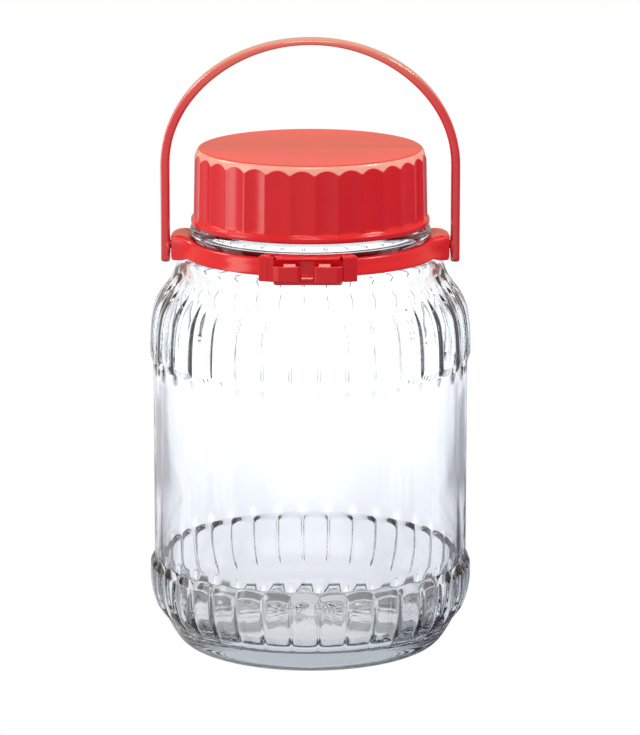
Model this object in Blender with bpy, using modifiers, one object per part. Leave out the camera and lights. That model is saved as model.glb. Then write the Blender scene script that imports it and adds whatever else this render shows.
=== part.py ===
"""A ribbed glass storage jar with a screw cap, a clasped collar and a bail handle.

Metres, +Z up, origin on the ground under the jar's axis. The clasp faces -Y, and
the handle stands upright and turns about the X axis through the collar's ears.
"""
import math

import bmesh
import bpy
from mathutils import Matrix

MM = 0.001

# Glass body: radii and heights above the ground
BODY_R = 80.0 * MM
BAND_LOW_TOP = 46.4 * MM
BAND_HIGH_FOOT = 147.1 * MM
FLUTES = 36
FLUTE_PHASE = math.radians(-2.0)
FLUTE_RISE = 1.8 * MM
FLUTE_SINK = 0.9 * MM
FLUTE_END_SLOPE = 0.45
FLAT_SHARE = 0.34
FLUTES_FADE_IN = 2.0 * MM
FLUTES_FULL = 16.0 * MM
FLUTES_WANE = 189.6 * MM
FLUTES_GONE = 201.6 * MM
COLUMNS_PER_FLUTE = 3
INNER_STEPS = 54
WALL = 3.8 * MM
FLOOR_Z = 8.6 * MM
FOOT_R = 60.0 * MM
FOOT_RING = 7.0 * MM
PUSH_UP = 2.5 * MM

# Neck, mouth and the bead that keeps the collar on
NECK_R = 58.2 * MM
BEAD_R = 60.3 * MM
BEAD_LOW = 211.0 * MM
BEAD_TOP = 217.9 * MM
FINISH_R = 56.6 * MM
MOUTH_R = 52.5 * MM
MOUTH_Z = 253.8 * MM

# Cap
CAP_FLUTES = 30
CAP_PHASE = math.radians(8.0)
CAP_FLUTE_DEPTH = 0.8 * MM
CAP_TOP_Z = 256.8 * MM
CAP_FOOT_Z = 218.3 * MM
CAP_TOP_R = 56.2 * MM
CAP_WALL_TOP_R = 58.6 * MM
CAP_WALL_FOOT_R = 59.3 * MM
FLANGE_R = 60.4 * MM
FLANGE_H = 2.7 * MM
CAP_ROOM = 0.4 * MM
CAP_ARCH_H = 2.6 * MM

# Collar band, ears and clasp
COLLAR_BORE_R = 58.8 * MM
COLLAR_FOOT_Z = 203.3 * MM
COLLAR_TOP_Z = 211.2 * MM
COLLAR_FOOT_R = 64.8 * MM
COLLAR_TOP_R = 61.3 * MM
COLLAR_STEPS = 72
EAR_FACE_X = 70.6 * MM
EAR_HALF_Y = 8.75 * MM
EAR_FOOT_Z = 201.0 * MM
EAR_TOP_Z = 213.2 * MM
BLOCK_IN_X = 17.5 * MM
BLOCK_OUT_X = 25.0 * MM
BLOCK_FACE_Y = -69.6 * MM
BLOCK_FOOT_Z = 201.3 * MM
BLOCK_TOP_Z = 214.3 * MM
CLASP_HALF_X = 17.1 * MM
CLASP_FACE_Y = -70.0 * MM
CLASP_FOOT_Z = 199.8 * MM
CLASP_TOP_Z = 214.4 * MM
SOCKET_PROUD = 1.6 * MM

# Handle
PIVOT_Z = 206.9 * MM
LEG_END_Z = 198.4 * MM
ARCH_Z = 247.3 * MM
ARCH_HALF_X = 75.6 * MM
ARCH_RISE = 66.1 * MM
LEG_THICK = 4.4 * MM
GRIP_THICK = 2.5 * MM
BAR_HALF_Y = 4.6 * MM
ARCH_STEPS = 28
BOSS_R = 4.9 * MM
BOSS_GAP = 0.3 * MM
PIN_R = 2.2 * MM
PIN_ROOM = 0.4 * MM
PIN_LENGTH = 4.4 * MM

RED = (0.72, 0.028, 0.030, 1.0)


def clear_scene():
    """Removes whatever the file starts with."""
    for old in list(bpy.data.objects):
        bpy.data.objects.remove(old, do_unlink=True)


def new_collection(name):
    made = bpy.data.collections.new(name)
    bpy.context.scene.collection.children.link(made)
    return made


def plastic(name):
    """Smooth moulded red plastic."""
    made = bpy.data.materials.new(name)
    made.use_nodes = True
    shader = made.node_tree.nodes["Principled BSDF"]
    shader.inputs["Base Color"].default_value = RED
    shader.inputs["Roughness"].default_value = 0.3
    shader.inputs["Metallic"].default_value = 0.0
    return made


def clear_glass(name):
    """Colourless soda-lime glass."""
    made = bpy.data.materials.new(name)
    made.use_nodes = True
    shader = made.node_tree.nodes["Principled BSDF"]
    shader.inputs["Base Color"].default_value = (0.96, 0.985, 0.98, 1.0)
    shader.inputs["Roughness"].default_value = 0.02
    shader.inputs["Metallic"].default_value = 0.0
    shader.inputs["Transmission Weight"].default_value = 1.0
    shader.inputs["IOR"].default_value = 1.51
    return made


def add_object(name, mesh, collection, material=None):
    """Links a mesh as an object, with its material."""
    made = bpy.data.objects.new(name, mesh)
    collection.objects.link(made)
    if material is not None:
        mesh.materials.append(material)
    return made


def hide_cutter(cutter):
    cutter.hide_render = True
    cutter.display_type = "WIRE"


def real_mesh(shape, name):
    """The evaluated mesh of an object, welded, with the object removed."""
    graph = bpy.context.evaluated_depsgraph_get()
    mesh = bpy.data.meshes.new_from_object(shape.evaluated_get(graph))
    mesh.transform(shape.matrix_world)
    mesh.name = name
    work = bmesh.new()
    work.from_mesh(mesh)
    bmesh.ops.remove_doubles(work, verts=work.verts, dist=1e-6)
    work.to_mesh(mesh)
    work.free()
    bpy.data.objects.remove(shape, do_unlink=True)
    return mesh


def turned_mesh(name, profile, steps, closed, collection):
    """Turns a profile of (radius, height) points about Z into a solid's mesh."""
    line = bpy.data.meshes.new(name + "_profile")
    count = len(profile)
    edges = [(i, i + 1) for i in range(count - 1)]
    if closed:
        edges.append((count - 1, 0))
    line.from_pydata([(r, 0.0, z) for r, z in profile], edges, [])
    shape = bpy.data.objects.new(name, line)
    collection.objects.link(shape)
    screw = shape.modifiers.new("Turn", "SCREW")
    screw.axis = "Z"
    screw.steps = steps
    screw.render_steps = steps
    screw.use_merge_vertices = True
    screw.merge_threshold = 1e-5
    bpy.context.view_layer.update()
    return real_mesh(shape, name)


def move_points(mesh, rule):
    """Moves each point along its radius by rule(azimuth, radius, height).

    The azimuth is 0 towards -Y and grows towards +X.
    """
    for vertex in mesh.vertices:
        x, y, z = vertex.co
        radius = math.hypot(x, y)
        if radius < 1e-6:
            continue
        azimuth = math.atan2(x, -y)
        grown = (radius + rule(azimuth, radius, z)) / radius
        vertex.co = (x * grown, y * grown, z)


def prism(name, outline, half, axis, centre, collection):
    """A flat outline as a filled 2D curve, extruded by half each way along X or Y."""
    curve = bpy.data.curves.new(name, "CURVE")
    curve.dimensions = "2D"
    curve.fill_mode = "BOTH"
    curve.extrude = half
    spline = curve.splines.new("POLY")
    spline.points.add(len(outline) - 1)
    for point, (across, height) in zip(spline.points, outline):
        point.co = (across, height, 0.0, 1.0)
    spline.use_cyclic_u = True
    shape = bpy.data.objects.new(name, curve)
    collection.objects.link(shape)
    upright = math.radians(90.0)
    if axis == "Y":
        shape.rotation_euler = (upright, 0.0, 0.0)
        shape.location = (0.0, centre, 0.0)
    else:
        shape.rotation_euler = (upright, 0.0, upright)
        shape.location = (centre, 0.0, 0.0)
    bpy.context.view_layer.update()
    return real_mesh(shape, name)


def rod_mesh(name, radius, start_x, end_x, sides=20):
    """A round rod along X at the height of the pivots."""
    work = bmesh.new()
    bmesh.ops.create_cone(
        work, cap_ends=True, segments=sides, radius1=radius, radius2=radius,
        depth=abs(end_x - start_x),
    )
    mesh = bpy.data.meshes.new(name)
    work.to_mesh(mesh)
    work.free()
    shape = bpy.data.objects.new(name, mesh)
    shape.rotation_euler = (0.0, math.radians(90.0), 0.0)
    shape.location = ((start_x + end_x) / 2.0, 0.0, PIVOT_Z)
    bpy.context.scene.collection.objects.link(shape)
    bpy.context.view_layer.update()
    return real_mesh(shape, name)


def box_mesh(name, low, high):
    work = bmesh.new()
    bmesh.ops.create_cube(work, size=1.0)
    for vertex in work.verts:
        vertex.co = [
            (a + b) / 2.0 + (b - a) * side
            for a, b, side in zip(low, high, vertex.co)
        ]
    mesh = bpy.data.meshes.new(name)
    work.to_mesh(mesh)
    work.free()
    return mesh


def mirrored_mesh(mesh, name):
    """The same shape on the other side of the YZ plane."""
    copy = mesh.copy()
    copy.name = name
    work = bmesh.new()
    work.from_mesh(copy)
    for vertex in work.verts:
        vertex.co.x = -vertex.co.x
    bmesh.ops.reverse_faces(work, faces=work.faces)
    work.to_mesh(copy)
    work.free()
    return copy


def combine(target, meshes, operation, collection):
    """Adds the meshes to the target, or cuts them from it."""
    tools = bpy.data.collections.new(target.name + "_" + operation.lower())
    collection.children.link(tools)
    for mesh in meshes:
        hide_cutter(add_object(mesh.name, mesh, tools))
    change = target.modifiers.new(operation.title(), "BOOLEAN")
    change.operation = operation
    change.operand_type = "COLLECTION"
    change.collection = tools
    change.solver = "EXACT"


def finish(target, sharp_degrees=32.0):
    """Turns the modifiers into the mesh and shades it smooth with sharp edges."""
    graph = bpy.context.evaluated_depsgraph_get()
    mesh = bpy.data.meshes.new_from_object(target.evaluated_get(graph))
    target.modifiers.clear()
    target.data = mesh
    mesh.shade_smooth()
    mesh.set_sharp_from_angle(angle=math.radians(sharp_degrees))


def pillow(place):
    """A flute's height above the body at a place from -0.5 to 0.5 across it."""
    edge = max(0.0, abs(place) - FLAT_SHARE / 2.0) / (0.5 - FLAT_SHARE / 2.0)
    return FLUTE_RISE - (FLUTE_RISE + FLUTE_SINK) * edge**1.6


def band_fade(height):
    """How strong the flutes are: they fade out at the heel and below the neck."""
    up = (height - FLUTES_FADE_IN) / (FLUTES_FULL - FLUTES_FADE_IN)
    down = (FLUTES_GONE - height) / (FLUTES_GONE - FLUTES_WANE)
    return max(0.0, min(1.0, up, down))


def flute_relief(azimuth, radius, height):
    """Rounded flutes in two bands, whose ends rise from the plain body as arches."""
    inside = max(BAND_LOW_TOP - height, height - BAND_HIGH_FOOT)
    if inside <= 0.0 or radius < FOOT_R + 0.5 * MM:
        return 0.0
    turn = (azimuth - FLUTE_PHASE) * FLUTES / math.tau
    place = (turn % 1.0) - 0.5
    limit = inside * FLUTE_END_SLOPE
    return min(limit, max(-limit, pillow(place))) * band_fade(height)


def glass_outline():
    """Outer profile of the glass between the flutes' crests, mouth to foot."""
    finish_part = [
        (0.0, MOUTH_Z),
        (FINISH_R - 0.8 * MM, MOUTH_Z),
        (FINISH_R, MOUTH_Z - 1.0 * MM),
        (FINISH_R, BEAD_TOP),
        (BEAD_R - 0.6 * MM, BEAD_TOP),
        (BEAD_R, BEAD_TOP - 1.2 * MM),
        (BEAD_R, BEAD_LOW + 1.1 * MM),
        (NECK_R, BEAD_LOW),
        (NECK_R, 206.0 * MM),
    ]
    shoulder = [
        (59.9, 204.0), (64.8, 201.6), (67.2, 198.4), (69.0, 193.6), (71.4, 188.3),
        (75.4, 182.3), (78.1, 175.6), (79.5, 167.0), (79.9, 158.0),
    ]
    borders = [(79.9, 153.0), (80.0, 150.0)]
    lower_band = [(80.3, 43.6), (80.6, 40.4)]
    heel = [
        (80.8, 34.0), (79.9, 27.5), (77.8, 21.5), (75.1, 15.5), (72.3, 10.0),
        (69.9, 6.0), (67.5, 2.8), (65.0, 0.9),
    ]
    upper = [(r * MM, z * MM) for r, z in shoulder + borders]
    lower = [(r * MM, z * MM) for r, z in lower_band + heel]
    plain = [(BODY_R, BAND_HIGH_FOOT), (BODY_R, BAND_LOW_TOP)]
    foot = [
        (FOOT_R, 0.0),
        (FOOT_R - FOOT_RING, 0.0),
        (FOOT_R - 1.9 * FOOT_RING, 0.6 * PUSH_UP),
        (0.0, PUSH_UP),
    ]
    return finish_part + upper + plain + lower + foot


def hollow_outline():
    """Profile of the space inside the glass, from above the mouth to the floor."""
    above = MOUTH_Z + 8.0 * MM
    neck = [(0.0, above), (MOUTH_R, above), (MOUTH_R, BEAD_TOP - 2.0 * MM)]
    shoulder = [
        (53.4, 209.0), (56.0, 203.0), (61.0, 197.5), (66.0, 190.5), (71.2, 182.5),
        (74.6, 174.0), (76.0, 163.0),
    ]
    wall_in = BODY_R - WALL
    wall = [(wall_in, BAND_HIGH_FOOT), (wall_in, BAND_LOW_TOP)]
    heel = [(76.0, 32.0), (74.4, 22.5), (71.0, 15.5), (65.5, 10.4), (58.0, 8.0)]
    bends = [[(r * MM, z * MM) for r, z in bend] for bend in (shoulder, heel)]
    return neck + bends[0] + wall + bends[1] + [(0.0, FLOOR_Z)]


def build_glass(parts, cutters):
    steps = FLUTES * COLUMNS_PER_FLUTE
    mesh = turned_mesh("glass", glass_outline(), steps, False, cutters)
    mesh.transform(Matrix.Rotation(FLUTE_PHASE, 4, "Z"))
    move_points(mesh, flute_relief)
    glass = add_object("glass", mesh, parts, clear_glass("clear glass"))
    hollow = turned_mesh("glass_hollow", hollow_outline(), INNER_STEPS, False, cutters)
    combine(glass, [hollow], "DIFFERENCE", cutters)
    finish(glass)


def cap_relief(azimuth, radius, height):
    """Shallow scoops round the cap's wall between narrow ridges."""
    top = CAP_TOP_Z - CAP_ARCH_H - 2.0 * MM
    if radius < CAP_WALL_TOP_R - 0.5 * MM or radius > FLANGE_R - 0.2 * MM:
        return 0.0
    if height > top or height < CAP_FOOT_Z + FLANGE_H:
        return 0.0
    turn = (azimuth - CAP_PHASE) * CAP_FLUTES / math.tau
    ridge = abs((turn + 0.5) % 1.0 - 0.5) * 2.0
    return -CAP_FLUTE_DEPTH * ridge


def build_cap(parts, cutters):
    wall_in = FINISH_R + CAP_ROOM
    arch = CAP_TOP_Z - CAP_ARCH_H
    profile = [
        (0.0, CAP_TOP_Z),
        (CAP_TOP_R, CAP_TOP_Z),
        (CAP_TOP_R + 1.6 * MM, CAP_TOP_Z - 0.9 * MM),
        (CAP_WALL_TOP_R, arch),
        (CAP_WALL_TOP_R, arch - 2.4 * MM),
        (CAP_WALL_FOOT_R, CAP_FOOT_Z + FLANGE_H + 0.1 * MM),
        (FLANGE_R, CAP_FOOT_Z + FLANGE_H - 0.3 * MM),
        (FLANGE_R, CAP_FOOT_Z),
        (wall_in, CAP_FOOT_Z),
        (wall_in, MOUTH_Z + CAP_ROOM),
        (0.0, MOUTH_Z + CAP_ROOM),
    ]
    mesh = turned_mesh("cap", profile, CAP_FLUTES * 2, False, cutters)
    mesh.transform(Matrix.Rotation(CAP_PHASE, 4, "Z"))
    move_points(mesh, cap_relief)
    cap = add_object("cap", mesh, parts, plastic("red cap plastic"))
    finish(cap)


def ear_outline():
    """An ear seen from the front: a square tab that sweeps down into the band."""
    root = 61.9 * MM
    step = 66.6 * MM
    under = [(root, COLLAR_FOOT_Z + 0.9 * MM), (65.0 * MM, COLLAR_FOOT_Z - 0.1 * MM)]
    tab = [
        (step, EAR_FOOT_Z), (EAR_FACE_X, EAR_FOOT_Z), (EAR_FACE_X, EAR_TOP_Z),
        (step, EAR_TOP_Z),
    ]
    sweep = [(65.0, 0.5), (63.4, 1.3), (61.9, 2.3)]
    return under + tab + [(x * MM, EAR_TOP_Z - drop * MM) for x, drop in sweep]


def block_outline():
    """A clasp block seen from the side, with its web reaching back into the band."""
    web_foot = COLLAR_FOOT_Z + 0.3 * MM
    return [
        (BLOCK_FACE_Y, BLOCK_FOOT_Z),
        (-65.4 * MM, BLOCK_FOOT_Z),
        (-65.0 * MM, web_foot),
        (-60.4 * MM, web_foot),
        (-60.4 * MM, COLLAR_TOP_Z - 2.2 * MM),
        (-63.0 * MM, BLOCK_TOP_Z),
        (BLOCK_FACE_Y, BLOCK_TOP_Z),
    ]


def build_collar(parts, cutters):
    ring = [
        (COLLAR_BORE_R, COLLAR_TOP_Z - 1.0 * MM),
        (COLLAR_TOP_R - 0.5 * MM, COLLAR_TOP_Z),
        (COLLAR_TOP_R, COLLAR_TOP_Z),
        (COLLAR_FOOT_R - 0.2 * MM, COLLAR_FOOT_Z + 4.0 * MM),
        (COLLAR_FOOT_R, COLLAR_FOOT_Z),
        (COLLAR_FOOT_R - 2.4 * MM, COLLAR_FOOT_Z),
        (COLLAR_BORE_R + 1.6 * MM, COLLAR_FOOT_Z + 1.3 * MM),
        (COLLAR_BORE_R, COLLAR_FOOT_Z + 3.0 * MM),
    ]
    mesh = turned_mesh("collar", ring, COLLAR_STEPS, True, cutters)
    collar = add_object("collar", mesh, parts, plastic("red collar plastic"))
    ear = prism("ear", ear_outline(), EAR_HALF_Y, "Y", 0.0, cutters)
    half_block = (BLOCK_OUT_X - BLOCK_IN_X) / 2.0
    middle = (BLOCK_OUT_X + BLOCK_IN_X) / 2.0
    block = prism("block", block_outline(), half_block, "X", middle, cutters)
    added = [ear, mirrored_mesh(ear, "ear_left"), block, mirrored_mesh(block, "block_left")]
    combine(collar, added, "UNION", cutters)
    hole_end = EAR_FACE_X - PIN_LENGTH - PIN_ROOM
    hole = rod_mesh("pin_hole", PIN_R + PIN_ROOM, hole_end, EAR_FACE_X + 1.0 * MM)
    combine(collar, [hole, mirrored_mesh(hole, "pin_hole_left")], "DIFFERENCE", cutters)
    finish(collar)


def clasp_outline():
    """The clasp plate seen from the side, cleared round the jar's shoulder."""
    return [
        (CLASP_FACE_Y, CLASP_FOOT_Z + 0.8 * MM),
        (CLASP_FACE_Y + 0.8 * MM, CLASP_FOOT_Z),
        (-67.6 * MM, CLASP_FOOT_Z),
        (-67.6 * MM, 200.8 * MM),
        (-65.3 * MM, 202.4 * MM),
        (-65.3 * MM, CLASP_TOP_Z - 1.2 * MM),
        (-66.0 * MM, CLASP_TOP_Z),
        (CLASP_FACE_Y + 1.0 * MM, CLASP_TOP_Z),
        (CLASP_FACE_Y, CLASP_TOP_Z - 1.0 * MM),
    ]


def build_clasp(parts, cutters):
    mesh = prism("clasp", clasp_outline(), CLASP_HALF_X, "X", 0.0, cutters)
    clasp = add_object("clasp", mesh, parts, plastic("red clasp plastic"))
    front = CLASP_FACE_Y - SOCKET_PROUD
    back = CLASP_FACE_Y + 1.0 * MM
    low = CLASP_FOOT_Z + 1.5 * MM
    high = CLASP_FOOT_Z + 9.6 * MM
    sockets = [
        box_mesh("socket_left", (-16.4 * MM, front, low), (-2.6 * MM, back, high)),
        box_mesh("socket_right", (1.8 * MM, front, low), (15.4 * MM, back, high)),
    ]
    combine(clasp, sockets, "UNION", cutters)
    slot_low = high - 1.0 * MM
    slots = [
        box_mesh(
            "slot_" + side, (x - 3.2 * MM, front + 0.5 * MM, slot_low),
            (x + 3.2 * MM, CLASP_FACE_Y - 0.2 * MM, high + 1.0 * MM),
        )
        for side, x in (("left", -10.2 * MM), ("right", 7.4 * MM))
    ]
    combine(clasp, slots, "DIFFERENCE", cutters)
    finish(clasp)


def handle_outline():
    """The bail seen from the front: straight legs under a half ellipse, as a loop.

    The bar thins evenly from the legs to the grip at the top.
    """
    leg_in = ARCH_HALF_X - LEG_THICK
    outer = []
    inner = []
    for i in range(ARCH_STEPS + 1):
        angle = math.pi * i / ARCH_STEPS
        across = math.cos(angle)
        rise = math.sin(angle)
        outer.append((ARCH_HALF_X * across, ARCH_Z + ARCH_RISE * rise))
        inner.append((leg_in * across, ARCH_Z + (ARCH_RISE - GRIP_THICK) * rise))
    chamfer = 1.1 * MM
    toe = LEG_END_Z
    right = [(ARCH_HALF_X - chamfer, toe), (ARCH_HALF_X, toe + chamfer)]
    left = [(-ARCH_HALF_X, toe + chamfer), (-ARCH_HALF_X + chamfer, toe)]
    left += [(-leg_in - chamfer, toe), (-leg_in, toe + chamfer)]
    right_in = [(leg_in, toe + chamfer), (leg_in + chamfer, toe)]
    return right + outer + left + inner[::-1] + right_in


def build_handle(parts, cutters):
    mesh = prism("handle", handle_outline(), BAR_HALF_Y, "Y", 0.0, cutters)
    handle = add_object("handle", mesh, parts, plastic("red handle plastic"))
    round_edges = handle.modifiers.new("Edges", "BEVEL")
    round_edges.width = 0.9 * MM
    round_edges.segments = 1
    round_edges.limit_method = "ANGLE"
    round_edges.angle_limit = math.radians(60.0)
    leg_in = ARCH_HALF_X - LEG_THICK
    boss = rod_mesh("boss", BOSS_R, EAR_FACE_X + BOSS_GAP, leg_in + 1.0 * MM)
    pin = rod_mesh("pin", PIN_R, EAR_FACE_X - PIN_LENGTH, leg_in + 1.5 * MM, 12)
    added = [boss, pin, mirrored_mesh(boss, "boss_left"), mirrored_mesh(pin, "pin_left")]
    combine(handle, added, "UNION", cutters)
    finish(handle)
    pivot = bpy.data.objects.new("handle_pivot", None)
    pivot.location = (0.0, 0.0, PIVOT_Z)
    parts.objects.link(pivot)
    bpy.context.view_layer.update()
    handle.parent = pivot
    handle.matrix_parent_inverse = pivot.matrix_world.inverted()


def main():
    clear_scene()
    parts = new_collection("glass storage jar")
    cutters = new_collection("cutters")
    build_glass(parts, cutters)
    build_cap(parts, cutters)
    build_collar(parts, cutters)
    build_clasp(parts, cutters)
    build_handle(parts, cutters)


main()
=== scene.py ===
"""Clear ribbed storage jar with a red screw cap, snap collar and bail handle.

Run as a script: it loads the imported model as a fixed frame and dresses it.
"""

import math

import bpy
import numpy as np
from bpy.props import FloatProperty, FloatVectorProperty, IntProperty, PointerProperty
from bpy.types import Operator, Panel, PropertyGroup
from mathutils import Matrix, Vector


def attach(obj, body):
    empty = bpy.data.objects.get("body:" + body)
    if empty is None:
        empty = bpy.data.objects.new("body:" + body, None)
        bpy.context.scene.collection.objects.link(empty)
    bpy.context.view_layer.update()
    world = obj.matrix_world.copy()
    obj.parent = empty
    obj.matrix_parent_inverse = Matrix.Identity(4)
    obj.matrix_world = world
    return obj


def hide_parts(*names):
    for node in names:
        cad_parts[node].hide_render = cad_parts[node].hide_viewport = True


bl_info = {
    "name": "Ribbed Storage Jar",
    "version": (1, 0, 0),
    "blender": (4, 5, 0),
    "location": "View3D > Sidebar > Jar",
    "description": "Builds a ribbed glass storage jar with a red cap, collar, clasp and handle",
    "category": "Add Mesh",
}

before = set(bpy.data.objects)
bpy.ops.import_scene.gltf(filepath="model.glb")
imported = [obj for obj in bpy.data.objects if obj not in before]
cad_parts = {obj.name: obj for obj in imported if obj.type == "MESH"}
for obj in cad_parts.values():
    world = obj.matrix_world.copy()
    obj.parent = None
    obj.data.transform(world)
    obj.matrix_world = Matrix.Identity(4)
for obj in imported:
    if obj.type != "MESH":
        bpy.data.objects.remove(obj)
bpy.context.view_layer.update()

MM = 0.001
EDGE_STEPS = 3
EDGE_ANGLE = math.radians(28.0)


# Shapes


def soften(points, rounds):
    """Rounds a line's corners: each round keeps the ends and puts two points on
    every segment, at a quarter and at three quarters of it."""
    for _ in range(rounds):
        near = 0.75 * points[:-1] + 0.25 * points[1:]
        far = 0.25 * points[:-1] + 0.75 * points[1:]
        inner = np.stack([near, far], axis=1).reshape(-1, points.shape[1])
        points = np.vstack([points[:1], inner, points[-1:]])
    return points


def along(points, shares):
    """Points of a line at the given shares of its length."""
    steps = np.linalg.norm(np.diff(points, axis=0), axis=1)
    reach = np.concatenate([[0.0], np.cumsum(steps)])
    want = np.asarray(shares) * reach[-1]
    return np.stack([np.interp(want, reach, axis) for axis in points.T], axis=1)


def spaced(points, count):
    """Puts count points on a line, the same length of line between neighbours."""
    return along(points, np.linspace(0.0, 1.0, count))


def evened(points, rounds):
    """Smooths a line's bends: each round moves every inner point halfway to the
    middle of its two neighbours."""
    points = points.copy()
    for _ in range(rounds):
        points[1:-1] = 0.25 * points[:-2] + 0.5 * points[1:-1] + 0.25 * points[2:]
    return points


def smooth_least(first, second, width):
    """The smaller of two values, with the corner between them rounded over width."""
    share = np.clip(0.5 + 0.5 * (second - first) / width, 0.0, 1.0)
    return first * share + second * (1.0 - share) - width * share * (1.0 - share)


def line_normals(points):
    """Normals of an open line in its plane, on the right of its direction."""
    ahead = np.gradient(points, axis=0)
    ahead /= np.linalg.norm(ahead, axis=1)[:, None]
    return np.stack([ahead[:, 1], -ahead[:, 0]], axis=1)


def turned_grid(radii, heights, angles):
    """Points at each radius and height, turned by each angle about the Z axis.

    radii and heights have one row per profile point and one column per angle."""
    return np.stack([radii * np.cos(angles), radii * np.sin(angles), heights], axis=-1)


def ring_faces(rows, columns):
    """Quads of a grid whose columns close on themselves, facing out where the
    rows rise and the columns run anticlockwise."""
    row = np.arange(rows - 1)[:, None] * columns
    column = np.arange(columns)[None, :]
    after = (column + 1) % columns
    quads = [row + column, row + after, row + columns + after, row + columns + column]
    return np.stack(quads, axis=-1).reshape(-1, 4).tolist()


def lidded(grid):
    """Vertices and faces of a turned grid that starts and ends in a pole: the
    first and last rows shrink to one vertex each, with a fan to the next row."""
    rows, columns = grid.shape[:2]
    body = grid[1:-1].reshape(-1, 3)
    points = np.vstack([body, grid[0].mean(axis=0), grid[-1].mean(axis=0)])
    faces = ring_faces(rows - 2, columns)
    low, high = len(body), len(body) + 1
    last = (rows - 3) * columns
    column = np.arange(columns)
    after = (column + 1) % columns
    faces += np.stack([after, column, np.full(columns, low)], axis=1).tolist()
    top = [last + column, last + after, np.full(columns, high)]
    return points, faces + np.stack(top, axis=1).tolist()


def looped(grid):
    """Vertices and faces of a grid that closes on itself both ways."""
    rows, columns = grid.shape[:2]
    row = np.arange(rows)[:, None]
    column = np.arange(columns)[None, :]
    below = (row + 1) % rows
    after = (column + 1) % columns
    quads = [
        row * columns + column, row * columns + after,
        below * columns + after, below * columns + column,
    ]
    return grid.reshape(-1, 3), np.stack(quads, axis=-1).reshape(-1, 4).tolist()


def capped(grid):
    """Vertices and faces of a tube of rings, with one flat face over each end."""
    rows, columns = grid.shape[:2]
    faces = ring_faces(rows, columns)
    faces.append(list(range(columns))[::-1])
    faces.append([(rows - 1) * columns + k for k in range(columns)])
    return grid.reshape(-1, 3), faces


def prism(outline, axis, low, high):
    """A flat outline pushed from low to high along one axis, with both ends closed.

    The outline runs anticlockwise seen from the far end of that axis."""
    outline = np.array(outline)
    others = {"X": (1, 2), "Y": (2, 0), "Z": (0, 1)}[axis]
    pushed = {"X": 0, "Y": 1, "Z": 2}[axis]
    grid = np.zeros((2, len(outline), 3))
    grid[:, :, others[0]] = outline[:, 0]
    grid[:, :, others[1]] = outline[:, 1]
    grid[0, :, pushed] = low
    grid[1, :, pushed] = high
    return capped(grid)


def joined(*parts):
    """Vertices and faces of several closed shells as one list of each."""
    points, faces = [], []
    count = 0
    for shell_points, shell_faces in parts:
        points.append(np.asarray(shell_points))
        faces += [[k + count for k in face] for face in shell_faces]
        count += len(shell_points)
    return np.vstack(points), faces


def mirrored(shell):
    """The same shell on the other side of the YZ plane, still facing out."""
    points, faces = shell
    return points * np.array([-1.0, 1.0, 1.0]), [face[::-1] for face in faces]


def put_piece(name, shell, material, body, stands_for=(), edge=0.0):
    """Links a shell as a piece that rides on a body, edge being its edges' radius."""
    points, faces = shell
    mesh = bpy.data.meshes.new(name)
    mesh.from_pydata(np.asarray(points).tolist(), [], faces)
    mesh.validate()
    mesh.shade_smooth()
    mesh.materials.append(material)
    piece = bpy.data.objects.new(name, mesh)
    bpy.context.scene.collection.objects.link(piece)
    if edge:
        rounding = piece.modifiers.new("Edges", "BEVEL")
        rounding.width = edge
        rounding.segments = EDGE_STEPS
        rounding.limit_method = "ANGLE"
        rounding.angle_limit = EDGE_ANGLE
        rounding.harden_normals = True
    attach(piece, body)
    if stands_for:
        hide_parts(*stands_for)
    return piece


# Materials


DRIFT_SCALE = 38.0
DEEP_SHARES = (0.93, 0.75, 0.85)
SHEEN_SCALE = 260.0
SHEEN_SPREAD = 0.08
HAZE_SCALE = 60.0
HAZE_ROUGHNESS = 0.012
# Scale, strength and height of the surface ripple
PLASTIC_RIPPLE = (90.0, 0.25, 0.1 * MM)
GLASS_RIPPLE = (75.0, 0.35, 0.12 * MM)


def shader_nodes(name):
    """A material with an empty node tree but for its output."""
    material = bpy.data.materials.new(name)
    material.use_nodes = True
    nodes = material.node_tree.nodes
    nodes.clear()
    output = nodes.new("ShaderNodeOutputMaterial")
    return material, nodes, material.node_tree.links, output


def noise(nodes, links, place, scale, detail):
    """A noise texture on the piece's own coordinates."""
    texture = nodes.new("ShaderNodeTexNoise")
    texture.inputs["Scale"].default_value = scale
    texture.inputs["Detail"].default_value = detail
    links.new(place, texture.inputs["Vector"])
    return texture.outputs["Fac"]


def spread(nodes, links, value, low, high):
    """Maps the middle of a noise onto low to high."""
    ranged = nodes.new("ShaderNodeMapRange")
    ranged.inputs["From Min"].default_value = 0.3
    ranged.inputs["From Max"].default_value = 0.7
    ranged.inputs["To Min"].default_value = low
    ranged.inputs["To Max"].default_value = high
    links.new(value, ranged.inputs["Value"])
    return ranged.outputs["Result"]


def math_node(nodes, links, operation, *values):
    """A maths node; numbers are set on its sockets and outputs are linked."""
    node = nodes.new("ShaderNodeMath")
    node.operation = operation
    for socket, value in zip(node.inputs, values):
        if isinstance(value, (int, float)):
            socket.default_value = value
        else:
            links.new(value, socket)
    return node.outputs["Value"]


def ramped(nodes, links, value, low, high, start=0.0, stop=1.0):
    """A smooth step from start at low to stop at high; high may be the lower one."""
    step = nodes.new("ShaderNodeMapRange")
    step.interpolation_type = "SMOOTHSTEP"
    step.inputs["From Min"].default_value = low
    step.inputs["From Max"].default_value = high
    step.inputs["To Min"].default_value = start
    step.inputs["To Max"].default_value = stop
    links.new(value, step.inputs["Value"])
    return step.outputs["Result"]


def window(nodes, links, value, start, full, wane, end):
    """One between full and wane, nought before start and after end, smooth between."""
    rise = ramped(nodes, links, value, start, full)
    fall = ramped(nodes, links, value, end, wane)
    return math_node(nodes, links, "MULTIPLY", rise, fall)


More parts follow.
